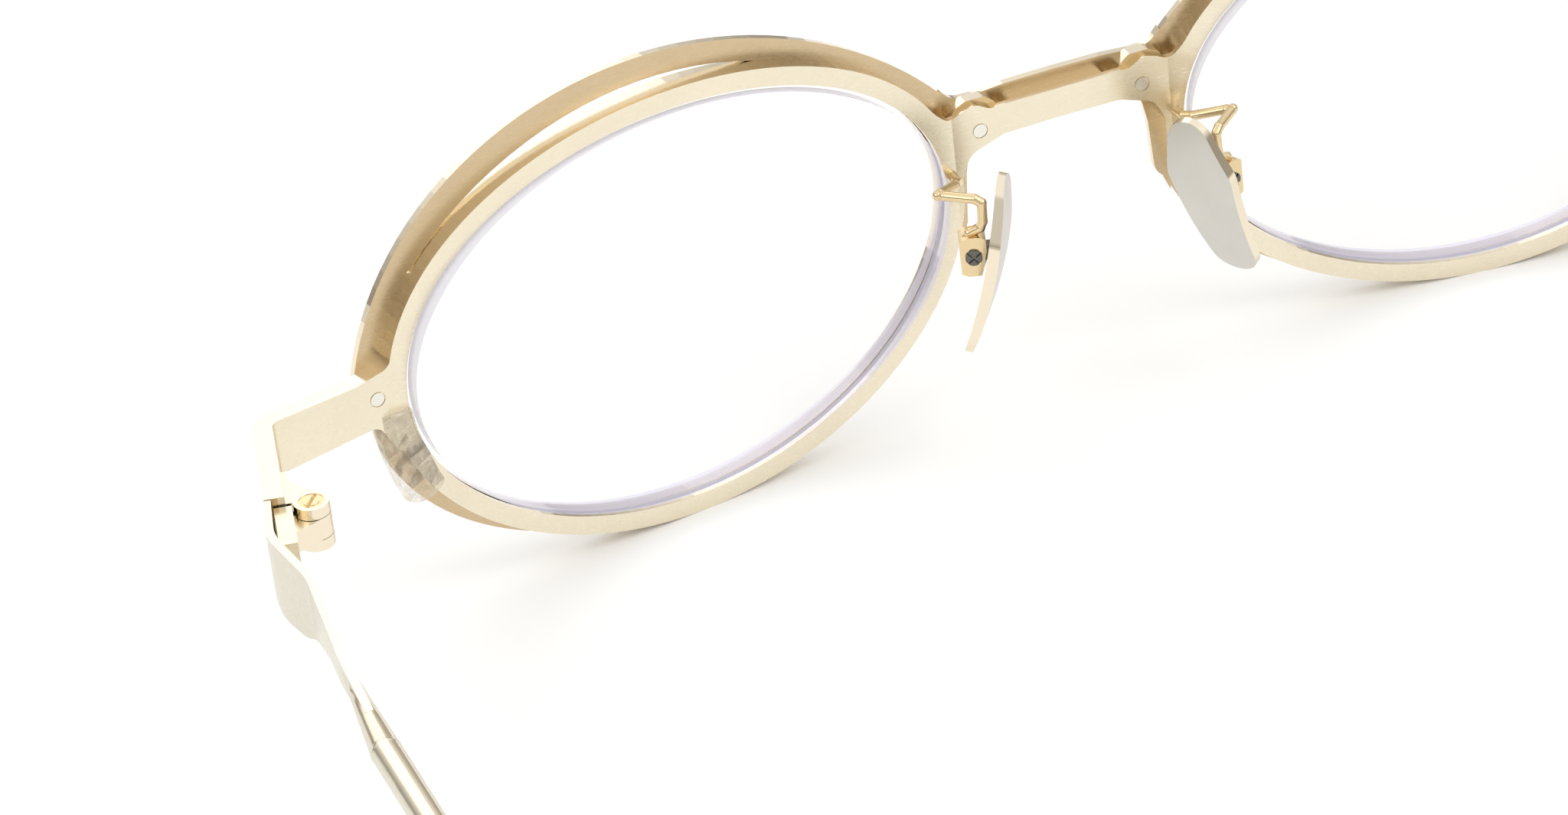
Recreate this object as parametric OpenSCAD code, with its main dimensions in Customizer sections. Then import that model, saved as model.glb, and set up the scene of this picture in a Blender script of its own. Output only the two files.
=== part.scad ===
// Full-rim metal eyeglasses: three riveted sheet plates, lenses clamped between
// them, screw hinges, folding temples and rocking metal nose pads.
// Frame: +Z up, -Y the way the wearer looks, +X the wearer's left, millimetres.
// The origin is on the resting plane, below the middle of the whole object.

/* [Lenses] */
// Width of one lens opening
lens_w = 46; // [42:1:50]
// Height of one lens opening
lens_h = 33; // [28:1:38]
// How much wider the opening is above its middle than below
lens_egg = 0.063; // [0:0.001:0.1]
// Distance from the middle of the frame to the middle of each lens
lens_x = 33; // [31:0.5:36]
// Width of the metal rim around the lens
rim_w = 1.5; // [1.2:0.1:2.2]
// How far the lens stands behind the rear plate
lens_proud = 0.9; // [0.3:0.1:1.5]

/* [Front plates] */
// Thickness of the rear plate
rear_t = 0.5; // [0.4:0.05:0.8]
// Thickness of the middle plate
mid_t = 1.0; // [0.8:0.1:1.4]
// Thickness of the front plate
front_t = 0.6; // [0.4:0.1:1]
// Angle of each half of the front, wrapping round the face
wrap = 8; // [4:0.5:10]
// Height of the end pieces and of the arms behind them
arm_h = 4.4; // [3.6:0.2:5.4]
// Radius of the inner edge of the brow arch
brow_r = 28; // [27.5:0.1:28.4]

/* [Hinges] */
// Radius of the hinge barrel
barrel_r = 1.3; // [1.2:0.05:1.5]
// Height of the hinge barrel
barrel_h = 3.5; // [3.2:0.1:4]
// Radius of the hinge screw
hinge_screw_r = 0.6; // [0.5:0.05:0.7]

/* [Temples] */
// Thickness of the sheet blade of a temple
blade_t = 0.6; // [0.5:0.1:0.8]
// Radius of the round wire behind the blade
wire_r = 1.1; // [0.9:0.05:1.2]
// Angle by which the temple drops behind the ear
ear_drop = 38; // [30:1:45]
// Radius of the bend behind the ear
ear_r = 28; // [20:1:35]

/* [Nose pads] */
// Length of a nose pad
pad_l = 14.7; // [13:0.1:16]
// Width of a nose pad
pad_w = 5.6; // [5:0.1:6]
// Thickness of a nose pad in its middle
pad_t = 0.9; // [0.7:0.1:1]
// Angle between each pad and straight back
pad_splay = 32; // [28:1:34]
// Angle between each pad and upright, seen from the front
pad_tilt = 17.5; // [14:0.5:19]
// Angle between each pad and upright, seen from the side
pad_lean = 8; // [4:1:10]

/* [Hidden] */
$fn = 96;
eps = 0.01;
oval_steps = 120;
// How far bars stop short of the balls that join them, and how far those stand proud
joint_gap = 0.04;
joint_proud = 0.02;

// Distances measured forward from the rear face of the rear plate
mid_d = rear_t;
front_d = rear_t + mid_t;
plates_t = rear_t + mid_t + front_t;

lens_a = lens_w / 2;
lens_b = lens_h / 2;
// Height of the middle of the lenses above the resting plane
eye_z = lens_b + rim_w;
// From the rear plate back to the middle of the whole depth, where the origin is
middle_y = 74.53;
// The front is flat between the fold lines and turned by wrap outside them
fold_x = 9;
fold_d = 0.25;

// Lens: its flange sits in a rebate in the middle plate
flange_w = 0.7;
flange_t = 0.45;
rebate_w = 0.75;
lens_inset = 0.35;
lens_front_r = 150;
lens_rear_r = 140;

// End piece and arm, in the plane of a half front, heights from the lens middle
arm_top = 3.3;
arm_bottom = arm_top - arm_h;
corner_x = 66.8;
corner_r = 0.9;
arm_turn = 69;
arm_run = 9.5;
arm_steps = 24;
bend_x = corner_x - corner_r * tan(arm_turn / 2);

// Rivets
end_rivet = [58.4, 1.9];
bridge_rivet = [6.74, 5.3];
rivet_r = 0.45;
rivet_head_r = 0.55;
rivet_head_t = 0.15;
rivet_gap = 0.07;
arm_rivet_run = 2.2;
arm_rivet_z = 1.1;

// Hinge frame: the origin is the screw, +Y runs along the arm
hinge = [66.715, 18.3];
hinge_turn = 90 - wrap - arm_turn;
hinge_top = eye_z + 2.6;
leaf_x = 1.8;
leaf_t = 0.5;
knuckle_gap = 0.04;
mid_knuckle_z = [0.9, 2.6];
hinge_fit = 0.03;
hinge_head_r = 0.95;
hinge_head_t = 0.35;
arm_gap = 0.12;
blade_in = 2.7;
leaf_back = 5.1;
temple_rivet_at = [1.4, 4.2, barrel_h / 2];
temple_rivet_l = 1.9;

// Temple: blade in plan, then corner points of the wire's centre line
blade_plan = [[0.1, 0], [1.3, 4.5], [0.45, 10.8], [1.1, 16.7], [1.6, 21], [2.0, 28]];
wire_z = 2.2;
cone_start = [1.35, 18, wire_z + 0.1];
cone_end = [2.25, 32, wire_z];
ear_corner = [2.6, 108, wire_z];
cone_tip_r = 0.15;
sleeve_y = 80;
core_r = 0.7;
sleeve_r = 1.35;
tip_r = 1.6;
tip_ball_r = 1.58;
tip_ball_back = 0.1;
tip_fall = wire_z + eye_z - tip_ball_r + tip_ball_back * sin(ear_drop);
tip_end = ear_corner + [-1.5, tip_fall / tan(ear_drop), -tip_fall];

// Clear sleeve: centre of its bend, radii and angle covered
sleeve_arc_r = 20;
sleeve_at = [36.9, 0.3];
sleeve_tube_r = 1.75;
sleeve_span = 22;

// Nose pads and their arms, left side
pad_at = [8.95, 6.3, eye_z - 2.5];
pad_nose_r = 30;
pad_rim_r = 45;
box_at = [10.45, 5.75, eye_z - 1.15];
box_size = [2.0, 1.9, 3.3];
box_round = 1.7;
box_turn = -20;
lug_r = 0.6;
lug_t = 0.9;
lug_slot = 1.1;
box_wall = 0.3;
pad_clear = 0.3;
pad_wire_r = 0.38;
pad_screw_r = 0.35;
pad_head_r = 0.65;
pad_head_t = 0.3;
pad_wire = [[9.3, -0.2, 2.2], [9.4, 1.2, 2.3], [9.9, 1.95, 2.5], [11.9, 3.75, 3.3], [12.25, 4.15, 3.45],
            [11.9, 4.55, 3.5], [10.1, 6.2, 3.5], [9.7, 6.5, 3.2], [9.75, 6.5, 1.6],
            [9.95, 6.4, 1.1], [10.7, 5.9, 0.6], [10.9, 5.8, 0.2], [10.9, 5.8, -1]];

// Outline of the front plate below the brow arches
front_oval_a = 25.45;
front_oval_x = 33.2;
front_oval_z = 0.4;

// ---- outlines -------------------------------------------------------------

// Point of the lens opening's edge at angle t, moved outward by w
function oval_point(t, w) =
    let (x = lens_a * cos(t) * (1 + lens_egg * sin(t)),
         z = lens_b * sin(t),
         dx = -lens_a * sin(t) * (1 + lens_egg * sin(t)) + lens_a * lens_egg * cos(t) * cos(t),
         dz = lens_b * cos(t),
         len = sqrt(dx * dx + dz * dz))
    [lens_x + x + w * dz / len, z - w * dx / len];

module oval(w) {
    polygon([for (i = [0 : oval_steps - 1]) oval_point(360 * i / oval_steps, w)]);
}

// Unit vector from a to b
function toward(a, b) = (b - a) / norm(b - a);

// A path with each inner corner rounded to radius r
function rounded(path, r) =
    [for (i = [0 : len(path) - 1])
        each i == 0 || i == len(path) - 1 ? [path[i]] : corner_arc(path[i - 1], path[i], path[i + 1], r)];

// Points of the arc that rounds the corner b of the path a, b, c
function corner_arc(a, b, c, r, steps = 8) =
    let (u = toward(b, a), v = toward(b, c),
         half = acos(u * v) / 2,
         cut = r / tan(half),
         mid = b + toward([0, 0], u + v) * r / sin(half),
         from = b + u * cut, to = b + v * cut)
    [for (k = [0 : steps]) let (s = k / steps, p = from + (to - from) * s)
        mid + toward(mid, p) * r];

// Closed outline of a strip of width w that follows a path, w / 2 each side
function strip(path, w) =
    let (n = len(path) - 1,
         way = [for (i = [0 : n]) toward(path[max(i - 1, 0)], path[min(i + 1, n)])],
         side = [for (d = way) [d[1], -d[0]] * w / 2])
    concat([for (i = [0 : n]) path[i] + side[i]], [for (i = [n : -1 : 0]) path[i] - side[i]]);

module rounded_outline(path, r) {
    polygon(rounded(path, r));
}

// End piece between the rim and the bend, with its upper and lower fillets
module end_piece() {
    polygon(concat(
        rounded([[54.5, 8], [56.2, 6.1], [57.3, 4.1], [60, 3.55], [bend_x, arm_top]], 1.2),
        [[bend_x, arm_bottom]],
        rounded([[bend_x, arm_bottom], [58.6, -0.35], [57.2, -3.2], [55.5, -3.2]], 1)));
}

// Bridge of the rear plate: flat top, a rise over each rivet, an arched underside
module rear_bridge() {
    top = rounded([[11.2, 8.9], [10.2, 7.7], [9.25, 6.75], [8, 7.35], [7, 7.65], [5.8, 6.95],
                   [4.5, 7], [0, 7]], 0.9);
    under = rounded([[0, 4.55], [4.8, 4.5], [7.7, 3.5], [8.55, 1.5], [8.6, -1], [11.5, -1]], 1.6);
    polygon(concat(top, under));
}

// Bridge of the middle plate: a rib, and a full-height boss round each rivet
module middle_bridge() {
    top = rounded([[11.2, 8.9], [10.1, 7.6], [9.3, 5.9], [8.5, 7.4], [7.6, 7.85], [6, 7.85],
                   [5.2, 7.2], [4.6, 5.9], [3.9, 6.85], [0, 6.85]], 0.35);
    under = rounded([[0, 4.55], [4.8, 4.5], [7.7, 3.5], [8.55, 1.5], [8.6, -1], [11.5, -1]], 1.6);
    polygon(concat(top, under));
}

// Bridge of the front plate: its top line runs on into the brow arches
module front_bridge() {
    top = rounded([[12.2, 11.5], [9.5, 9], [8.1, 7.7], [6.5, 7.65], [4, 7.85], [0, 7.9]], 1.5);
    under = rounded([[0, 4.55], [4.7, 4.5], [7.1, 3.5], [7.6, 1], [7.9, -3.6], [11.5, -6]], 1.5);
    polygon(concat(top, under));
}

// Outer edge of the front plate's rim, level with the other plates at the bottom
module front_oval() {
    half_h = lens_b + rim_w + front_oval_z;
    translate([front_oval_x, front_oval_z]) polygon([for (i = [0 : oval_steps - 1])
        let (t = 360 * i / oval_steps) [front_oval_a * cos(t), half_h * sin(t)]]);
}

// Outer edge of the brow arch, one turned ellipse
module brow_outer() {
    translate([30.9, -6.2]) rotate(29.4)
        polygon([for (i = [0 : oval_steps - 1]) let (t = 360 * i / oval_steps)
            [30.25 * cos(t), 25.7 * sin(t)]]);
}

// The see-through crescent between the brow arch and the rim
module crescent() {
    difference() {
        intersection() {
            translate([lens_x + 1, -9.3]) circle(brow_r, $fn = 180);
            translate([20, 10.2]) square([40, 15]);
        }
        oval(rim_w);
    }
}

// ---- frames ---------------------------------------------------------------

module mirrored(side) {
    if (side > 0) children();
    else mirror([1, 0, 0]) children();
}

// Lays an outline in the upright plane, thickness t, its rear face d ahead of the rear plate's
module upright(d, t) {
    translate([0, -d, eye_z]) rotate([90, 0, 0]) linear_extrude(t) children();
}

// Sets a left-hand piece, or its mirror image, in the row's frame
module placed(side) {
    translate([0, -middle_y, 0]) mirrored(side) children();
}

module half_turn() {
    translate([fold_x, -fold_d, 0]) rotate([0, 0, wrap]) translate([-fold_x, fold_d, 0]) children();
}

// The side of the fold planes toward the middle of the front
module between_folds() {
    far = 8;
    lean = far * tan(wrap / 2);
    translate([0, -fold_d, 0]) linear_extrude(2 * eye_z + 10) polygon([[fold_x + lean, -far], [fold_x - lean, far],
                                            [lean - fold_x, far], [-fold_x - lean, -far]]);
}

// One whole plate of the front from half its outline: the flat middle and two turned halves
module plate(d, t) {
    intersection() {
        upright(d, t) union() {
            children();
            mirror([1, 0]) children();
        }
        between_folds();
    }
    for (side = [1, -1]) mirrored(side) difference() {
        half_turn() upright(d, t) children();
        between_folds();
    }
}

// One face of the arm in plan: the bend at radius r, then the run back to the hinge
function arm_line(r) = concat(
    [for (i = [0 : arm_steps]) let (a = arm_turn * i / arm_steps - 90) r * [cos(a), sin(a)]],
    [r * [sin(arm_turn), -cos(arm_turn)] + arm_run * [cos(arm_turn), sin(arm_turn)]]);
// Arm: the bend and the run back to the hinge, d ahead of the rear plate's rear face
module arm(d, t) {
    inner = arm_line(corner_r + d);
    outer = arm_line(corner_r + d + t);
    half_turn() translate([bend_x, corner_r, eye_z + arm_bottom]) linear_extrude(arm_h)
        polygon(concat(outer, [for (i = [len(inner) - 1 : -1 : 0]) inner[i]]));
}

module half_hole(at, r, d, t) {
    half_turn() translate([at[0], 0, eye_z + at[1]]) rotate([90, 0, 0]) translate([0, 0, d - eps])
        cylinder(h = t + 2 * eps, r = r);
}

module middle_hole(at, r, d, t) {
    translate([at[0], 0, eye_z + at[1]]) rotate([90, 0, 0]) translate([0, 0, d - eps])
        cylinder(h = t + 2 * eps, r = r);
}

module rivet_holes(d, t, r) {
    for (side = [1, -1]) mirrored(side) {
        half_hole(end_rivet, r, d, t);
        middle_hole(bridge_rivet, r, d, t);
    }
}

module arm_rivet_place() {
    half_turn() translate([bend_x, corner_r, eye_z + arm_rivet_z]) rotate([0, 0, arm_turn])
        translate([arm_rivet_run, -corner_r, 0]) rotate([90, 0, 0]) children();
}

// ---- front ----------------------------------------------------------------

module rear_plate() {
    head_r = rivet_head_r + rivet_gap;
    color([0.90, 0.86, 0.76]) placed(1) difference() {
        union() {
            plate(0, rear_t) {
                rear_bridge();
                oval(rim_w);
                end_piece();
            }
            for (side = [1, -1]) mirrored(side) arm(0, rear_t);
        }
        for (side = [1, -1]) mirrored(side) {
            half_turn() upright(-1, rear_t + 2) oval(0);
            arm_rivet_place() translate([0, 0, -eps]) cylinder(h = rear_t + 2 * eps, r = rivet_r);
        }
        rivet_holes(0, rear_t, rivet_r);
        rivet_holes(-eps, rivet_head_t + eps, head_r);
    }
}

module middle_plate() {
    color([0.78, 0.68, 0.50]) placed(1) difference() {
        union() {
            plate(mid_d, mid_t) {
                middle_bridge();
                oval(rim_w);
                end_piece();
            }
            for (side = [1, -1]) mirrored(side) arm(mid_d, mid_t);
        }
        for (side = [1, -1]) mirrored(side) {
            half_turn() upright(mid_d - 1, mid_t + 2) oval(0);
            half_turn() upright(mid_d - eps, flange_t + eps) oval(rebate_w);
            arm_rivet_place() translate([0, 0, mid_d - eps]) cylinder(h = mid_t + 2 * eps, r = rivet_r);
            arm_rivet_place() translate([0, 0, front_d - rivet_head_t])
                cylinder(h = rivet_head_t + eps, r = rivet_head_r + rivet_gap);
        }
        rivet_holes(mid_d, mid_t, rivet_r);
    }
}

module front_half() {
    difference() {
        union() {
            front_bridge();
            front_oval();
            intersection() {
                brow_outer();
                translate([fold_x - 1, -0.6]) square([60, 30]);
            }
        }
        crescent();
    }
}

module front_plate() {
    head_r = rivet_head_r + rivet_gap;
    color([0.83, 0.74, 0.57]) placed(1) difference() {
        plate(front_d, front_t) front_half();
        for (side = [1, -1]) mirrored(side) half_turn() upright(front_d - 1, front_t + 2) oval(0);
        rivet_holes(front_d, front_t, rivet_r);
        rivet_holes(plates_t - rivet_head_t, rivet_head_t + eps, head_r);
    }
}

// Clear lens: a thin flange in the rebate, a body through the openings, dished faces
module lens(side) {
    color([0.93, 0.93, 0.98, 0.35]) placed(side) half_turn() difference() {
        intersection() {
            union() {
                upright(mid_d, flange_t) oval(flange_w);
                upright(-lens_proud, lens_proud + mid_d + eps) oval(-lens_inset);
                upright(mid_d + flange_t - eps, 4) oval(-0.1);
            }
            translate([lens_x, lens_front_r - plates_t - 1.2, eye_z]) sphere(lens_front_r, $fn = 200);
        }
        translate([lens_x, lens_rear_r - 0.75, eye_z]) sphere(lens_rear_r, $fn = 200);
    }
}

module plate_rivet() {
    cylinder(h = plates_t, r = rivet_r);
    cylinder(h = rivet_head_t, r = rivet_head_r);
    translate([0, 0, plates_t - rivet_head_t]) cylinder(h = rivet_head_t, r = rivet_head_r);
}

module end_rivet(side) {
    color([0.94, 0.92, 0.84]) placed(side) half_turn()
        translate([end_rivet[0], 0, eye_z + end_rivet[1]]) rotate([90, 0, 0]) plate_rivet();
}

module bridge_rivet(side) {
    color([0.94, 0.92, 0.84]) placed(side)
        translate([bridge_rivet[0], 0, eye_z + bridge_rivet[1]]) rotate([90, 0, 0]) plate_rivet();
}

// Holds the two layers of the arm together behind the bend
module arm_rivet(side) {
    color([0.94, 0.92, 0.84]) placed(side) arm_rivet_place() {
        cylinder(h = front_d, r = rivet_r);
        translate([0, 0, front_d - rivet_head_t]) cylinder(h = rivet_head_t, r = rivet_head_r);
    }
}

// Clear split tube pressed over the left rim below the end piece, open toward the lens
module rim_sleeve() {
    color([0.96, 0.95, 0.92, 0.4]) placed(1) difference() {
        half_turn() translate([sleeve_at[0], -plates_t / 2, eye_z + sleeve_at[1]]) rotate([90, 0, 0])
            rotate([0, 0, -sleeve_span]) rotate_extrude(angle = sleeve_span)
                translate([sleeve_arc_r, 0]) circle(sleeve_tube_r, $fn = 48);
        half_turn() upright(-3, 8) oval(0);
        half_turn() upright(0, front_d) oval(rim_w);
        half_turn() upright(0, plates_t) end_piece();
        half_turn() upright(front_d, front_t) front_half();
    }
}

// ---- hinges ---------------------------------------------------------------

module hinge_frame() {
    translate([hinge[0], hinge[1], hinge_top - barrel_h]) rotate([0, 0, -hinge_turn]) children();
}

// Web that joins a knuckle to its leaf
module web_outline() {
    polygon(concat([[0, 0.15], [leaf_x, 0.15], [leaf_x, 4.4]],
        rounded([[leaf_x, 4.4], [1.3, 3.2], [0.2, 1.7], [-1.1, 0.7]], 1)));
}

module front_leaf(side) {
    color([0.93, 0.88, 0.78]) placed(side) hinge_frame() difference() {
        union() {
            translate([leaf_x - leaf_t, -4.4, 0]) cube([leaf_t, 4.4 - arm_gap, barrel_h]);
            difference() {
                union() {
                    cylinder(h = barrel_h, r = barrel_r);
                    linear_extrude(barrel_h) mirror([0, 1]) web_outline();
                }
                translate([0, 0, mid_knuckle_z[0] - knuckle_gap]) cylinder(
                    h = mid_knuckle_z[1] - mid_knuckle_z[0] + 2 * knuckle_gap, r = barrel_r + 0.1);
            }
        }
        translate([0, 0, -eps]) cylinder(h = barrel_h + 2 * eps, r = hinge_screw_r);
        translate([0, 0, barrel_h - hinge_head_t]) cylinder(h = hinge_head_t + eps, r = hinge_head_r);
    }
}

module temple_leaf(side) {
    z0 = mid_knuckle_z[0];
    z1 = mid_knuckle_z[1];
    color([0.88, 0.87, 0.83]) placed(side) hinge_frame() difference() {
        union() {
            translate([1.4, 0.2, 0]) cube([blade_in - 1.4, leaf_back - 0.2, barrel_h]);
            translate([0, 0, z0]) {
                cylinder(h = z1 - z0, r = barrel_r);
                linear_extrude(z1 - z0) polygon([[0, 0.15], [1.5, 0.2], [1.5, 2.4], [0.2, 1.7], [-1.1, 0.7]]);
            }
        }
        translate([0, 0, -eps]) cylinder(h = barrel_h + 2 * eps, r = hinge_screw_r + hinge_fit);
        translate(temple_rivet_at) rotate([0, 90, 0]) cylinder(h = 2, r = rivet_r);
    }
}

module hinge_screw(side) {
    color([0.86, 0.80, 0.68]) placed(side) hinge_frame() difference() {
        union() {
            cylinder(h = barrel_h, r = hinge_screw_r);
            translate([0, 0, barrel_h - hinge_head_t]) cylinder(h = hinge_head_t - 0.05, r = hinge_head_r);
        }
        translate([0, 0, barrel_h - 0.15]) rotate([0, 0, 65])
            cube([3, 0.28, 0.4], center = true);
    }
}

// ---- temples --------------------------------------------------------------

module temple_frame() {
    hinge_frame() translate([blade_in + blade_t / 2, arm_gap, 0]) rotate([0, 0, hinge_turn])
        translate([0, 0, barrel_h - hinge_top + eye_z]) children();
}

// Side outline of the blade: level top, a deep front that sweeps up to the wire
module blade_side() {
    polygon(concat(
        [[0, arm_top], [20, arm_top], [28, 3.05], [28, 1.45], [24, 1.2]],
        rounded([[24, 1.2], [17.5, 0.55], [12.8, -1], [9.2, -2.6], [6, -2.95], [0, arm_bottom]], 4)));
}

// Turns +Z to the direction way
module aim(way) {
    rotate([0, acos(way[2] / norm(way)), atan2(way[1], way[0])]) children();
}

// Straight round bar from a to b, radius ra at a and rb at b, a hair short at each end
module bar(a, b, ra, rb) {
    from = along(a, b, joint_gap);
    way = along(b, a, joint_gap) - from;
    translate(from) aim(way) cylinder(h = norm(way), r1 = ra, r2 = rb);
}

// Ball that joins two bars, or a bar and a bend, a hair proud of both
module joint(at, r) {
    translate(at) sphere(r + joint_proud, $fn = 48);
}

// Distance from the corner b of the path a, b, c to where its bend starts
function bend_cut(a, b, c, bend_r) = bend_r * tan(acos(toward(a, b) * toward(b, c)) / 2);

// Round bar of radius r bent round the corner b of the path a, b, c, with a joint at each end
module bend(a, b, c, bend_r, r) {
    u = toward(a, b);
    v = toward(b, c);
    up = toward([0, 0, 0], cross(u, v));
    cut = bend_cut(a, b, c, bend_r);
    middle = b - u * cut + cross(up, u) * bend_r;
    out = -cross(up, u);
    tip = acos(up[2]);
    round = atan2(up[1], up[0]);
    level = [-sin(round), cos(round), 0];
    fall = [cos(tip) * cos(round), cos(tip) * sin(round), -sin(tip)];
    translate(middle) aim(up) rotate([0, 0, atan2(out * level, out * fall)])
        rotate_extrude(angle = acos(u * v)) translate([bend_r, 0]) circle(r);
    joint(b - u * cut, r);
    joint(b + v * cut, r);
}

// Point on the way from a toward b, s millimetres along
function along(a, b, s) = a + toward(a, b) * s;

ear_cut = bend_cut(cone_end, ear_corner, tip_end, ear_r);
sleeve_from = along(cone_end, ear_corner, sleeve_y - cone_end[1]);
ear_from = along(ear_corner, cone_end, ear_cut);
ear_to = along(ear_corner, tip_end, ear_cut);

// Metal of the temple behind the blade, with a thinner core inside the sleeve
module temple_wire() {
    bar(cone_start, cone_end, cone_tip_r, wire_r);
    joint(cone_end, wire_r);
    bar(cone_end, sleeve_from, wire_r, wire_r);
    core(0.3, 2);
}

// Core of the tip, starting before inside the wire and ending short of the tip's end
module core(before, short) {
    bar(along(sleeve_from, cone_end, before), ear_from, core_r, core_r);
    bend(cone_end, ear_corner, tip_end, ear_r, core_r);
    bar(ear_to, along(tip_end, ear_corner, short), core_r, core_r);
}

module temple(side) {
    color([0.91, 0.88, 0.80]) placed(side) difference() {
        temple_frame() union() {
            intersection() {
                translate([0, 0, -10]) linear_extrude(20)
                    polygon(strip(rounded(blade_plan, 6), blade_t));
                translate([-5, 0, 0]) rotate([90, 0, 90]) linear_extrude(12) blade_side();
            }
            temple_wire();
        }
        temple_rivet_place() cylinder(h = temple_rivet_l, r = rivet_r);
    }
}

module temple_rivet_place() {
    hinge_frame() translate(temple_rivet_at) rotate([0, 90, 0]) children();
}

module temple_rivet(side) {
    color([0.94, 0.92, 0.84]) placed(side) temple_rivet_place() cylinder(h = temple_rivet_l, r = rivet_r);
}

module temple_tip(side) {
    color([0.93, 0.90, 0.84, 0.6]) placed(side) temple_frame() difference() {
        union() {
            bar(sleeve_from, ear_from, sleeve_r, tip_r);
            bend(cone_end, ear_corner, tip_end, ear_r, tip_r);
            bar(ear_to, tip_end, tip_r, tip_r);
            translate(along(tip_end, ear_corner, tip_ball_back)) sphere(tip_ball_r);
        }
        core(0.3, 2);
    }
}

// ---- nose pads ------------------------------------------------------------

// Thin bent wire through a list of points, a ball at each bend
module wire(points, r) {
    last = len(points) - 1;
    for (i = [0 : last - 1]) bar(points[i], points[i + 1], r, r);
    for (i = [1 : last - 1]) joint(points[i], r);
}

module box_frame() {
    translate(box_at) rotate([0, 0, box_turn]) children();
}

module box_block() {
    box_frame() intersection() {
        translate(-box_size / 2) cube(box_size);
        rotate([90, 0, 0]) cylinder(h = 6, r = box_round, center = true);
    }
}

module pad_arm(side) {
    color([0.90, 0.80, 0.60]) placed(side) difference() {
        translate([0, 0, eye_z]) wire(pad_wire, pad_wire_r);
        translate([0, -plates_t, eye_z - 5]) cube([20, plates_t, 20]);
        half_turn() translate([0, -plates_t, eye_z - 5]) cube([20, plates_t, 20]);
        box_block();
    }
}

module pad_box(side) {
    color([0.92, 0.84, 0.66]) placed(side) difference() {
        box_block();
        pad_frame() translate([-10, -10, -10]) cube([10 + pad_t / 2 + pad_clear, 20, 20]);
        box_frame() {
            translate([-box_size[0] / 2 - 1, -lug_slot / 2, -1.1]) cube([box_size[0] + 1 - box_wall, lug_slot, 2.2]);
            rotate([90, 0, 0]) cylinder(h = 6, r = pad_screw_r, center = true);
            translate([0, box_size[1] / 2 - 0.15, 0]) rotate([-90, 0, 0]) cylinder(h = 1, r = pad_head_r);
        }
    }
}

module pad_screw(side) {
    head_y = box_size[1] / 2 - 0.15;
    color([0.75, 0.75, 0.76]) placed(side) box_frame() difference() {
        union() {
            translate([0, -box_size[1] / 2, 0]) rotate([-90, 0, 0])
                cylinder(h = box_size[1] - 0.15, r = pad_screw_r);
            translate([0, head_y, 0]) rotate([-90, 0, 0]) cylinder(h = pad_head_t, r = pad_head_r);
        }
        for (turn = [40, 130]) translate([0, head_y + pad_head_t, 0]) rotate([0, turn, 0])
            cube([2, 0.24, 0.2], center = true);
    }
}

module pad_frame() {
    translate(pad_at) rotate([pad_lean, 0, 0]) rotate([0, 0, -pad_splay]) rotate([0, -pad_tilt, 0]) children();
}

// Pad outline: a tall rounded shape, a little fuller above than below
module pad_outline() {
    hull() {
        translate([-0.2, pad_l / 2 - 1.9]) circle(1.9);
        translate([pad_w / 2 - 2.4, 2.2]) circle(2.4);
        translate([2.4 - pad_w / 2, 2.6]) circle(2.4);
        translate([0.2, 1.9 - pad_l / 2]) circle(1.9);
    }
}

// Cylinder across the pad whose surface stands x from the pad's middle
module pad_curve(r, x) {
    translate([r + x, 0, 0]) rotate([90, 0, 0]) cylinder(h = 20, r = r, center = true, $fn = 180);
}

module nose_pad(side) {
    color([0.84, 0.83, 0.80]) placed(side) pad_frame() difference() {
        intersection() {
            rotate([90, 0, 90]) translate([0, 0, -3]) linear_extrude(6) pad_outline();
            pad_curve(pad_nose_r, -pad_t / 2);
        }
        pad_curve(pad_rim_r, pad_t / 2);
    }
}

// Lug soldered to the back of the pad; it rocks in the box on the pad screw
module pad_lug(side) {
    color([0.45, 0.43, 0.40]) placed(side) difference() {
        intersection() {
            box_frame() union() {
                rotate([90, 0, 0]) cylinder(h = lug_t, r = lug_r, center = true);
                translate([-3, -lug_t / 2, -lug_r]) cube([3, lug_t, 2 * lug_r]);
            }
            pad_frame() pad_curve(pad_rim_r, pad_t / 2);
        }
        box_frame() rotate([90, 0, 0]) cylinder(h = 3, r = pad_screw_r + 0.03, center = true);
    }
}

rear_plate();
middle_plate();
front_plate();
lens(1);  // lens_left
lens(-1);  // lens_right
end_rivet(1);  // end_rivet_left
end_rivet(-1);  // end_rivet_right
bridge_rivet(1);  // bridge_rivet_left
bridge_rivet(-1);  // bridge_rivet_right
arm_rivet(1);  // arm_rivet_left
arm_rivet(-1);  // arm_rivet_right
front_leaf(1);  // front_leaf_left
front_leaf(-1);  // front_leaf_right
hinge_screw(1);  // hinge_screw_left
hinge_screw(-1);  // hinge_screw_right
temple_leaf(1);  // temple_leaf_left
temple_leaf(-1);  // temple_leaf_right
temple(1);  // temple_left
temple(-1);  // temple_right
temple_rivet(1);  // temple_rivet_left
temple_rivet(-1);  // temple_rivet_right
temple_tip(1);  // temple_tip_left
temple_tip(-1);  // temple_tip_right
pad_arm(1);  // pad_arm_left
pad_arm(-1);  // pad_arm_right
pad_box(1);  // pad_box_left
pad_box(-1);  // pad_box_right
pad_screw(1);  // pad_screw_left
pad_screw(-1);  // pad_screw_right
pad_lug(1);  // pad_lug_left
pad_lug(-1);  // pad_lug_right
nose_pad(1);  // nose_pad_left
nose_pad(-1);  // nose_pad_right
rim_sleeve();
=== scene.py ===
"""Full-rim metal eyeglasses: materials for every piece and a plain studio."""

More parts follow.
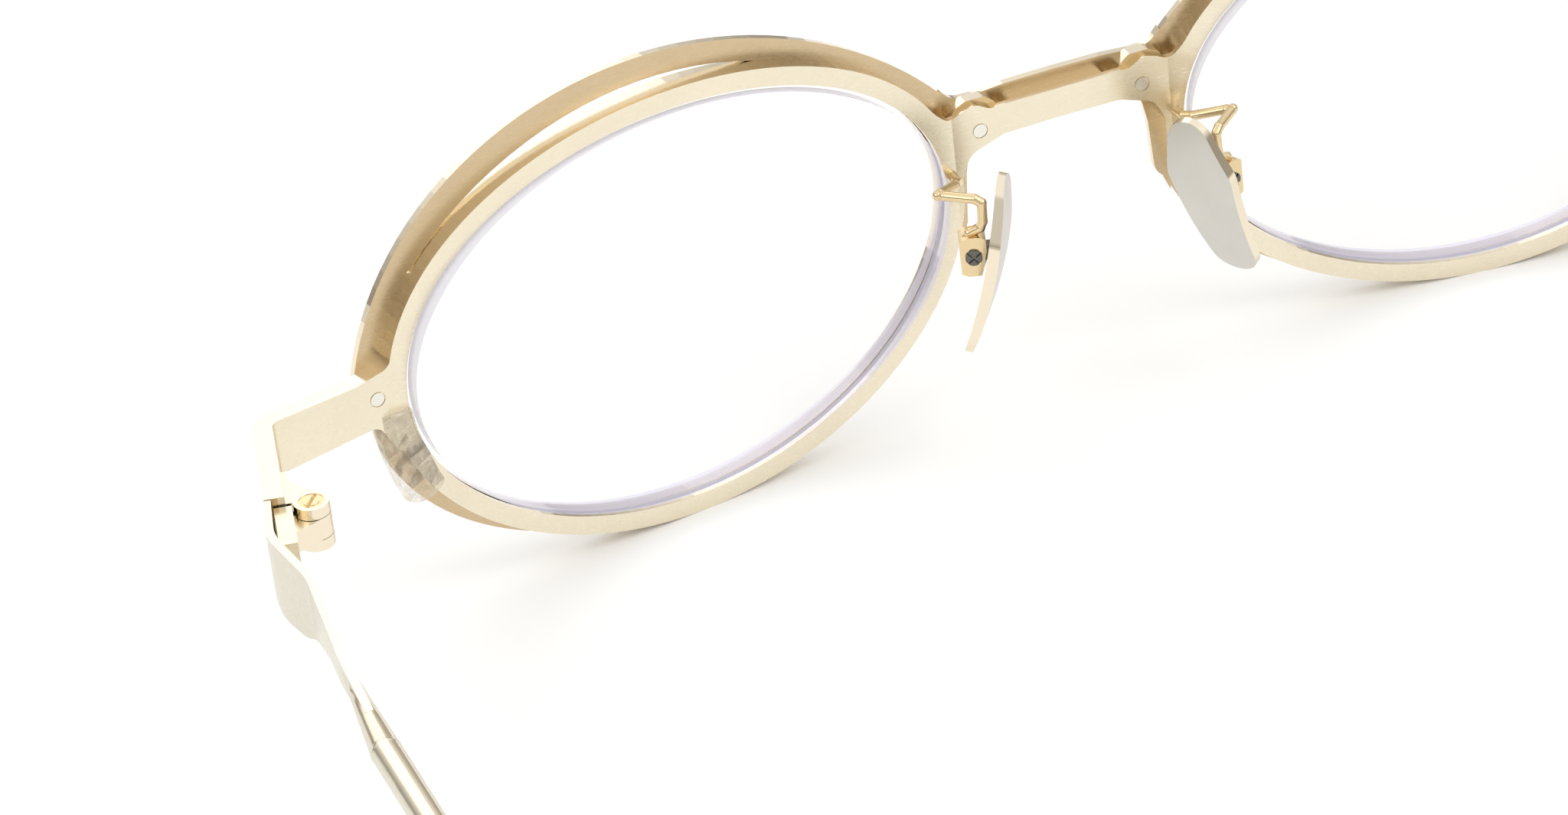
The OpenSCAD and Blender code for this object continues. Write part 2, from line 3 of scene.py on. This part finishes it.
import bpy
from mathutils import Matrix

bl_info = {
    "name": "Metal Eyeglasses",
    "version": (1, 0, 0),
    "blender": (4, 5, 0),
    "location": "View3D > Sidebar > Eyeglasses",
    "description": "Finishes and stages a pair of full-rim metal eyeglasses",
    "category": "Object",
}

import math

import bpy
from bpy.props import FloatProperty, FloatVectorProperty, PointerProperty
from mathutils import Euler, Matrix, Vector

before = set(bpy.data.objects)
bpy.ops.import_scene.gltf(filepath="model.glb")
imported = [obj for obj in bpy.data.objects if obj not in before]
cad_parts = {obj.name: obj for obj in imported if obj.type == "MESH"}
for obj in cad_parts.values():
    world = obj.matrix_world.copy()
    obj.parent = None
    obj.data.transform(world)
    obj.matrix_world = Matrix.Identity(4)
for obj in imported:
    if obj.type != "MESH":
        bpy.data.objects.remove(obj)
MM = 0.001
SIDES = ("left", "right")
# How far a brushing scratch is drawn out along each axis
ALONG_X = (9, 1, 1)
ALONG_Y = (1, 12, 1)
ALONG_Z = (1, 1, 6)
UNBRUSHED = (1, 1, 1)
POLISHED_ROUGHNESS = 0.16
RESIN_IOR = 1.5
FACES_BACK = (0, 1, 0)
FACES_SIDE = (1, 0, 0)
FACES_UP = (0, 0, 1)


# ---- colours and nodes ------------------------------------------------------


def linear(hex_color):
    """sRGB hex colour as a linear (r, g, b)."""
    values = [int(hex_color[i : i + 2], 16) / 255 for i in (1, 3, 5)]
    return tuple(v / 12.92 if v <= 0.04045 else ((v + 0.055) / 1.055) ** 2.4 for v in values)


def rgba(color):
    """A linear colour with full alpha, as a colour socket takes it."""
    return (*color, 1.0)


def add(tree, kind, settings=None, **links):
    """Adds a node. settings go to its properties, and links to its inputs: by name, with _ for
    a space, or by number, as in i0."""
    node = tree.nodes.new(kind)
    for key, value in (settings or {}).items():
        setattr(node, key, value)
    for key, value in links.items():
        by_number = key[0] == "i" and key[1:].isdigit()
        socket = node.inputs[int(key[1:]) if by_number else key.replace("_", " ")]
        if isinstance(value, bpy.types.NodeSocket):
            tree.links.new(value, socket)
        else:
            socket.default_value = value
    return node


def new_material(name):
    """An empty node material, its tree and its Principled shader."""
    material = bpy.data.materials.new(name)
    material.use_nodes = True
    tree = material.node_tree
    return material, tree, tree.nodes["Principled BSDF"]


def object_noise(tree, cell, stretch=(1, 1, 1), detail=3.0):
    """Noise in the row frame with cells of about that size in metres, drawn out by stretch."""
    coords = add(tree, "ShaderNodeTexCoord")
    scale = [1 / (cell * s) for s in stretch]
    mapping = add(tree, "ShaderNodeMapping", Vector=coords.outputs["Object"], Scale=scale)
    return add(tree, "ShaderNodeTexNoise", Vector=mapping.outputs[0], Scale=1.0, Detail=detail)


def mapped(tree, value, low, high, to_low=0.0, to_high=1.0):
    """value rescaled from low..high to to_low..to_high, clamped."""
    links = {"Value": value, "From_Min": low, "From_Max": high, "To_Min": to_low, "To_Max": to_high}
    return add(tree, "ShaderNodeMapRange", **links).outputs[0]


def mixed(tree, factor, first, second):
    """The mix of two colours."""
    node = add(tree, "ShaderNodeMix", {"data_type": "RGBA"}, i0=factor, i6=first, i7=second)
    return node.outputs[2]


def facing(tree, direction):
    """How squarely the surface faces along direction, either way, from 0 to 1."""
    coords = add(tree, "ShaderNodeTexCoord")
    dot = add(tree, "ShaderNodeVectorMath", {"operation": "DOT_PRODUCT"},
              i0=coords.outputs["Normal"], i1=direction)
    return add(tree, "ShaderNodeMath", {"operation": "ABSOLUTE"}, i0=dot.outputs["Value"]).outputs[0]


def metal(name, color, edge_highlight_color, grain, direction, rough, stretch=ALONG_X):
    """Plated metal: brushed faces square to direction, polished cut edges in a brighter painted highlight
    colour, fine stains.
    """
    material, tree, shader = new_material(name)
    # Sheet faces keep the brushed colour, and the cut edges round them get a brighter colour: a painted
    # highlight that draws them as thin bright lines, on top of their real polish in the roughness below.
    face = mapped(tree, facing(tree, direction), 0.55, 0.9)
    stain = object_noise(tree, 6 * MM, detail=4.0)
    stained = mixed(tree, mapped(tree, stain.outputs[0], 0.35, 0.7, 0.0, 0.25), rgba(color),
                    rgba(tuple(0.8 * c for c in color)))
    tree.links.new(mixed(tree, face, rgba(edge_highlight_color), stained), shader.inputs["Base Color"])
    # Long fine scratches from brushing spread the highlights across the grain.
    brush = object_noise(tree, grain, stretch)
    rough_face = mapped(tree, brush.outputs[0], 0.3, 0.7, rough - 0.06, rough + 0.08)
    rough_mix = add(tree, "ShaderNodeMix", i0=face, i2=POLISHED_ROUGHNESS, i3=rough_face)
    tree.links.new(rough_mix.outputs[0], shader.inputs["Roughness"])
    bump = add(tree, "ShaderNodeBump", Strength=0.12, Distance=0.02 * MM, Height=brush.outputs[0])
    tree.links.new(bump.outputs[0], shader.inputs["Normal"])
    shader.inputs["Metallic"].default_value = 1.0
    return material


def clear(name, tint, edge_tint, face_alpha, edge_alpha, rough, wrinkle=0.0):
    """Clear plastic: light passes the faces, and the edges take a deeper tint."""
    material, tree, shader = new_material(name)
    # Faces square to the back take the face tint, and faces turned away from the back take the edge tint.
    face = mapped(tree, facing(tree, FACES_BACK), 0.3, 0.8)
    tree.links.new(mixed(tree, face, rgba(edge_tint), rgba(tint)), shader.inputs["Base Color"])
    shader.inputs["IOR"].default_value = RESIN_IOR
    smear = object_noise(tree, 3 * MM)
    tree.links.new(mapped(tree, smear.outputs[0], 0.4, 0.8, rough, rough + 0.03),
                   shader.inputs["Roughness"])
    body = mapped(tree, face, 0.0, 1.0, edge_alpha, face_alpha)
    if wrinkle:
        # Soft tube that has been pushed on by hand: shallow creases and trapped bubbles.
        crease = object_noise(tree, 0.6 * MM, (1, 1, 2.5), 2.0)
        bump = add(tree, "ShaderNodeBump", Strength=wrinkle, Distance=0.2 * MM, Height=crease.outputs[0])
        tree.links.new(bump.outputs[0], shader.inputs["Normal"])
        cloud = mapped(tree, crease.outputs[0], 0.45, 0.65, 0.6, 1.4)
        body = add(tree, "ShaderNodeMath", {"operation": "MULTIPLY", "use_clamp": True},
                   i0=body, i1=cloud).outputs[0]
    tree.links.new(body, shader.inputs["Alpha"])
    return material


def dress(material, *nodes):
    """Gives CAD nodes their material."""
    for name in nodes:
        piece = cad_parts[name]
        if not piece.material_slots:
            raise RuntimeError(f"{name} has no material slot")
        for slot in piece.material_slots:
            slot.link = "OBJECT"
            slot.material = material


def both(name):
    """The names of a pair of left and right nodes."""
    return [f"{name}_{side}" for side in SIDES]


# ---- settings ---------------------------------------------------------------


def color_setting(name, description, hex_color):
    """A colour setting with its default given in sRGB hex."""
    return FloatVectorProperty(name=name, description=description, subtype="COLOR", size=3,
                               min=0, max=1, default=linear(hex_color))


class EYEGLASSES_PG_metals(bpy.types.PropertyGroup):
    rear: color_setting("Rear plate", "Satin champagne plating of the rear plate", "#F0E6CE")
    # The middle and front plate colours are the champagne plating made darker and browner: painted shade
    # and painted reflection from the narrow gap between the plates.
    middle: color_setting("Middle plate", "Brushed gold of the middle plate", "#D8BC8C")
    front: color_setting("Front plate", "Brown-gold of the front plate's rear face", "#D3BD99")
    # The cut-edge colour is a painted highlight: brighter than the plating so the edges show as thin
    # bright lines.
    edge_highlight: color_setting("Polished edges", "Silver-gold of the cut edges", "#EFE3CC")
    gold: color_setting("Gold fittings", "Bright gold of the pad arms and boxes", "#E6CFA4")
    temple: color_setting("Temples", "Pale silver of the temples", "#DDD7C6")
    rivet: color_setting("Rivets", "Polished steel of the rivets", "#EDEAE0")
    pad: color_setting("Nose pads", "Silver gray of the nose pads", "#D7D4CD")
    dark: color_setting("Dark steel", "Plain steel of the pad screws and lugs", "#6E6B67")
    grain: FloatProperty(name="Grain", description="Width of a brushing scratch", unit="LENGTH",
                         default=0.12 * MM, min=0.02 * MM, max=1 * MM)


class EYEGLASSES_PG_clears(bpy.types.PropertyGroup):
    lens: color_setting("Lens", "Tint of the lens faces", "#FCFCFE")
    lens_edge: color_setting("Lens edge", "Tint of the lens edge", "#DEDAEE")
    sleeve: color_setting("Rim sleeve", "Tan tint of the clear sleeve", "#EFE4CF")
    tip: color_setting("Temple tips", "Colour of the sleeves over the temple ends", "#E9E2D0")


class EYEGLASSES_PG_stage(bpy.types.PropertyGroup):
    floor: color_setting("Floor", "Colour of the plain floor", "#FBFBFA")
    azimuth: FloatProperty(name="Azimuth", description="Camera's turn from +Y towards +X", subtype="ANGLE",
                           default=math.radians(19.13))
    elevation: FloatProperty(name="Elevation", description="Camera's height angle", subtype="ANGLE",
                             default=math.radians(31.14))
    roll: FloatProperty(name="Roll", description="Camera's roll about its own axis", subtype="ANGLE",
                        default=math.radians(-6.47))
    camera_at: FloatVectorProperty(name="Camera position", description="Where the camera stands",
                                   unit="LENGTH", size=3,
                                   default=(150.898 * MM, 298.359 * MM, 249.542 * MM))
    focal: FloatProperty(name="Focal length", description="Camera focal length in millimetres",
                         default=139.85, min=20, max=300)
    shift_x: FloatProperty(name="Shift X", description="Sideways shift of the camera's picture",
                           default=-0.01984)
    shift_y: FloatProperty(name="Shift Y", description="Upward shift of the camera's picture",
                           default=-0.05401)
    key_power: FloatProperty(name="Key light", description="Power of the large soft light in watts",
                             default=2.0, min=0, max=50)


# ---- operators --------------------------------------------------------------


class EYEGLASSES_OT_plates(bpy.types.Operator):
    """Finish the three sheet plates of the front"""

    bl_idname = "eyeglasses.plates"
    bl_label = "Plates"

    def execute(self, context):
        s = context.scene.eyeglasses_metals
        for node, name, color, rough in (
            ("rear_plate", "champagne_plated_steel", s.rear, 0.3),
            # The middle and front plates carry painted shade in their colour, darker and browner than the
            # rear plate.
            ("middle_plate", "middle_plate_steel_painted_shade", s.middle, 0.28),
            ("front_plate", "front_plate_steel_painted_shade", s.front, 0.3),
        ):
            dress(metal(name, color, s.edge_highlight, s.grain, FACES_BACK, rough), node)
        return {"FINISHED"}


class EYEGLASSES_OT_rivets(bpy.types.Operator):
    """Finish the rivets that hold the plates and the leaves"""

    bl_idname = "eyeglasses.rivets"
    bl_label = "Rivets"

    def execute(self, context):
        s = context.scene.eyeglasses_metals
        steel = metal("polished_steel", s.rivet, s.edge_highlight, s.grain, FACES_BACK, 0.2, UNBRUSHED)
        for name in ("end_rivet", "bridge_rivet", "arm_rivet", "temple_rivet"):
            dress(steel, *both(name))
        return {"FINISHED"}


class EYEGLASSES_OT_lenses(bpy.types.Operator):
    """Finish the clear lenses"""

    bl_idname = "eyeglasses.lenses"
    bl_label = "Lenses"

    def execute(self, context):
        s = context.scene.eyeglasses_clears
        dress(clear("clear_lens_resin", s.lens, s.lens_edge, 0.05, 0.6, 0.02), *both("lens"))
        return {"FINISHED"}


class EYEGLASSES_OT_hinges(bpy.types.Operator):
    """Finish the hinge leaves and their screws"""

    bl_idname = "eyeglasses.hinges"
    bl_label = "Hinges"

    def execute(self, context):
        s = context.scene.eyeglasses_metals
        leaf = metal("champagne_hinge_steel", s.rear, s.edge_highlight, s.grain, FACES_UP, 0.26)
        screw = metal("gold_screw_brass", s.gold, s.edge_highlight, s.grain, FACES_UP, 0.2, UNBRUSHED)
        dress(leaf, *both("front_leaf"), *both("temple_leaf"))
        dress(screw, *both("hinge_screw"))
        return {"FINISHED"}


class EYEGLASSES_OT_temples(bpy.types.Operator):
    """Finish the temples and the sleeves over their ends"""

    bl_idname = "eyeglasses.temples"
    bl_label = "Temples"

    def execute(self, context):
        s = context.scene.eyeglasses_metals
        steel = metal("satin_plated_steel", s.temple, s.edge_highlight, s.grain, FACES_SIDE, 0.26, ALONG_Y)
        dress(steel, *both("temple"))
        material, tree, shader = new_material("smooth_tip_plastic")
        mottle = object_noise(tree, 4 * MM)
        tip = context.scene.eyeglasses_clears.tip
        darker = rgba(tuple(0.85 * c for c in tip))
        tree.links.new(mixed(tree, mapped(tree, mottle.outputs[0], 0.3, 0.7), rgba(tip), darker),
                       shader.inputs["Base Color"])
        tree.links.new(mapped(tree, mottle.outputs[0], 0.3, 0.7, 0.18, 0.3), shader.inputs["Roughness"])
        shader.inputs["Subsurface Weight"].default_value = 0.3
        shader.inputs["Subsurface Scale"].default_value = 1 * MM
        dress(material, *both("temple_tip"))
        return {"FINISHED"}


class EYEGLASSES_OT_nose_pads(bpy.types.Operator):
    """Finish the nose pads and what carries them"""

    bl_idname = "eyeglasses.nose_pads"
    bl_label = "Nose pads"

    def execute(self, context):
        s = context.scene.eyeglasses_metals
        gold = metal("gold_plated_wire", s.gold, s.gold, s.grain, FACES_BACK, 0.2, UNBRUSHED)
        dark = metal("dark_plain_steel", s.dark, s.dark, s.grain, FACES_BACK, 0.32, UNBRUSHED)
        dress(gold, *both("pad_arm"), *both("pad_box"))
        dress(dark, *both("pad_screw"), *both("pad_lug"))
        for side, sign in zip(SIDES, (1, -1)):
            across = (sign * 0.81, -0.54, 0.23)
            steel = metal(f"satin_pad_steel_{side}", s.pad, s.edge_highlight, s.grain, across, 0.34, ALONG_Z)
            dress(steel, f"nose_pad_{side}")
        return {"FINISHED"}


class EYEGLASSES_OT_rim_sleeve(bpy.types.Operator):
    """Finish the clear sleeve on the left rim"""

    bl_idname = "eyeglasses.rim_sleeve"
    bl_label = "Rim sleeve"

    def execute(self, context):
        s = context.scene.eyeglasses_clears
        dress(clear("clear_soft_vinyl", s.sleeve, s.sleeve, 0.3, 0.45, 0.12, 0.5), "rim_sleeve")
        return {"FINISHED"}


class EYEGLASSES_OT_stage(bpy.types.Operator):
    """Add the floor, the lights and the camera"""

    bl_idname = "eyeglasses.stage"
    bl_label = "Stage"

    def execute(self, context):
        s = context.scene.eyeglasses_stage
        self.add_floor(s)
        self.add_lights(context, s)
        self.add_camera(context, s)
        return {"FINISHED"}

    def add_floor(self, s):
        bpy.ops.mesh.primitive_plane_add(size=6)
        floor = bpy.context.object
        floor.name = "floor"
        material, tree, shader = new_material("pale_paper")
        shader.inputs["Base Color"].default_value = rgba(s.floor)
        shader.inputs["Roughness"].default_value = 0.8
        floor.data.materials.append(material)

    def add_lights(self, context, s):
        # The plain sRGB view keeps the white of the backdrop white.
        context.scene.view_settings.view_transform = "Standard"
        world = bpy.data.worlds.new("studio")
        context.scene.world = world
        world.use_nodes = True
        tree = world.node_tree
        # A bright dome with a darker band near the horizon gives the metal soft dark lines.
        coords = add(tree, "ShaderNodeTexCoord")
        height = add(tree, "ShaderNodeSeparateXYZ", Vector=coords.outputs["Generated"]).outputs[2]
        level = mapped(tree, height, 0.05, 0.6)
        sky = mixed(tree, level, rgba(linear("#8F8A83")), rgba(linear("#FFFFFF")))
        background = tree.nodes["Background"]
        tree.links.new(sky, background.inputs["Color"])
        background.inputs["Strength"].default_value = 1.05
        for name, at, size, power in (
            ("key", (-0.5, 0.5, 0.9), 0.7, s.key_power),
            ("fill", (0.8, 0.2, 0.6), 0.5, s.key_power * 0.5),
            ("back", (0.1, -0.9, 0.6), 0.8, s.key_power * 0.6),
        ):
            data = bpy.data.lights.new(name, "AREA")
            data.energy = power
            data.size = size
            light = bpy.data.objects.new(name, data)
            light.location = at
            light.rotation_euler = (-Vector(at)).to_track_quat("-Z", "Y").to_euler()
            context.collection.objects.link(light)

    def add_camera(self, context, s):
        flat = math.cos(s.elevation)
        back = Vector((flat * math.sin(s.azimuth), flat * math.cos(s.azimuth), math.sin(s.elevation)))
        level = Vector((-math.cos(s.azimuth), math.sin(s.azimuth), 0))
        turn = Matrix((level, back.cross(level), back)).transposed() @ Euler((0, 0, s.roll)).to_matrix()
        data = bpy.data.cameras.new("camera")
        data.lens = s.focal
        data.sensor_width = 36
        data.shift_x = s.shift_x
        data.shift_y = s.shift_y
        data.clip_start = 10 * MM
        camera = bpy.data.objects.new("camera", data)
        camera.location = s.camera_at
        camera.rotation_euler = turn.to_euler()
        context.collection.objects.link(camera)
        context.scene.camera = camera


OPERATORS = (
    EYEGLASSES_OT_plates,
    EYEGLASSES_OT_rivets,
    EYEGLASSES_OT_lenses,
    EYEGLASSES_OT_hinges,
    EYEGLASSES_OT_temples,
    EYEGLASSES_OT_nose_pads,
    EYEGLASSES_OT_rim_sleeve,
    EYEGLASSES_OT_stage,
)


class EYEGLASSES_PT_panel(bpy.types.Panel):
    """Finishes and stage of the eyeglasses"""

    bl_idname = "EYEGLASSES_PT_panel"
    bl_label = "Eyeglasses"
    bl_space_type = "VIEW_3D"
    bl_region_type = "UI"
    bl_category = "Eyeglasses"

    def draw(self, context):
        layout = self.layout
        for name in GROUPS:
            group = getattr(context.scene, name)
            for key in group.__annotations__:
                layout.prop(group, key)
        for operator in OPERATORS:
            layout.operator(operator.bl_idname)


GROUPS = {
    "eyeglasses_metals": EYEGLASSES_PG_metals,
    "eyeglasses_clears": EYEGLASSES_PG_clears,
    "eyeglasses_stage": EYEGLASSES_PG_stage,
}


def register():
    for cls in (*GROUPS.values(), *OPERATORS, EYEGLASSES_PT_panel):
        bpy.utils.register_class(cls)
    for name, group in GROUPS.items():
        setattr(bpy.types.Scene, name, PointerProperty(type=group))


def unregister():
    for name in GROUPS:
        delattr(bpy.types.Scene, name)
    for cls in (EYEGLASSES_PT_panel, *reversed(OPERATORS), *reversed(GROUPS.values())):
        bpy.utils.unregister_class(cls)


def main():
    """Runs every operator."""
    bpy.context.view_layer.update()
    register()
    for operator in OPERATORS:
        group, name = operator.bl_idname.split(".")
        getattr(getattr(bpy.ops, group), name)()


if __name__ == "__main__":
    main()
